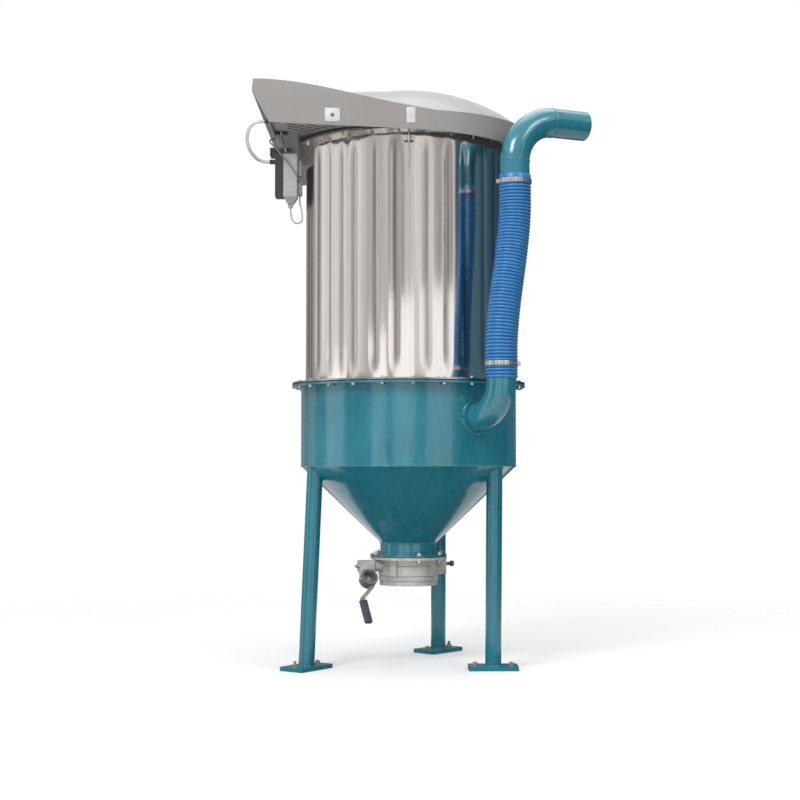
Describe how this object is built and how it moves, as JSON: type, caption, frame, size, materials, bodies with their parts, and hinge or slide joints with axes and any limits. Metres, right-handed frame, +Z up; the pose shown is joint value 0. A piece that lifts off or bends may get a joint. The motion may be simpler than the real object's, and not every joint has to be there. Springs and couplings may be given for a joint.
{
  "type": "silo dust collector",
  "caption": "Silo dust collector: mirror-steel filter shell with a beaked weather cover on a legged hopper, with a hose-fed inlet duct and a lever-worked butterfly outlet valve",
  "frame": {"origin": "on the floor, on the vertical axis of the shell, hopper and outlet", "axes": "+Z up along that axis, -X towards the cover's beak, -Y towards the viewer's side with the hose"},
  "size_m": [1.2788, 0.9682, 2.212],
  "materials": {
    "teal_paint": "gloss",
    "stainless": "gloss",
    "zinc_steel": "gloss",
    "cover_grey": "satin",
    "cast_aluminium": "satin",
    "black_rubber": "satin",
    "black_plastic": "satin",
    "grey_plastic": "satin",
    "hose_blue": "satin",
    "clear_plastic": "gloss",
    "cable_grey": "satin"
  },
  "bodies": {
    "root": {"foot_left": "teal_paint", "foot_right": "teal_paint", "foot_back": "teal_paint", "leg_left": "teal_paint", "leg_right": "teal_paint", "leg_back": "teal_paint", "hopper_drum": "teal_paint", "hopper_cone": "teal_paint", "outlet_neck": "teal_paint", "neck_flange": "teal_paint", "neck_gasket": "black_rubber", "hopper_flange": "teal_paint", "flange_gasket": "black_rubber", "shell_bottom_flange": "stainless", "filter_shell": "stainless", "shell_top_flange": "stainless", "cover_seal": "black_rubber", "weather_cover": "cover_grey", "cover_latch": "zinc_steel", "exhaust_grille": "cover_grey", "beak_housing": "cover_grey", "beak_flap": "cover_grey", "flap_hinges": "black_plastic", "control_box": "grey_plastic", "control_box_side": "black_plastic", "box_top_block": "black_plastic", "box_connectors": "grey_plastic", "cable_gland": "grey_plastic", "air_fitting": "black_plastic", "tube_fitting": "black_plastic", "inlet_collar": "teal_paint", "inlet_elbow_lower": "teal_paint", "inlet_hose": "hose_blue", "hose_clamp_lower": "zinc_steel", "hose_clamp_upper": "zinc_steel", "inlet_elbow_upper": "teal_paint", "valve_upper_body": "cast_aluminium", "valve_lower_body": "cast_aluminium", "valve_bearing_left": "cast_aluminium", "valve_bearing_right": "cast_aluminium", "air_tube": "clear_plastic", "flap_cable": "cable_grey", "loop_cable": "cable_grey"},
    "valve_lever": {"valve_shaft": "black_plastic", "valve_disc": "cast_aluminium", "lever_head": "cast_aluminium", "lever_strap": "zinc_steel", "lever_hub": "black_plastic", "lever_arm": "zinc_steel", "lever_grip": "black_rubber"}
  },
  "joints": [
    {"name": "valve_turn", "type": "hinge", "parent": "root", "child": "valve_lever", "pos_m": [0, 0, 0.378], "axis": [-0.9063, -0.4226, 0], "range_deg": [0, 90]}
  ]
}
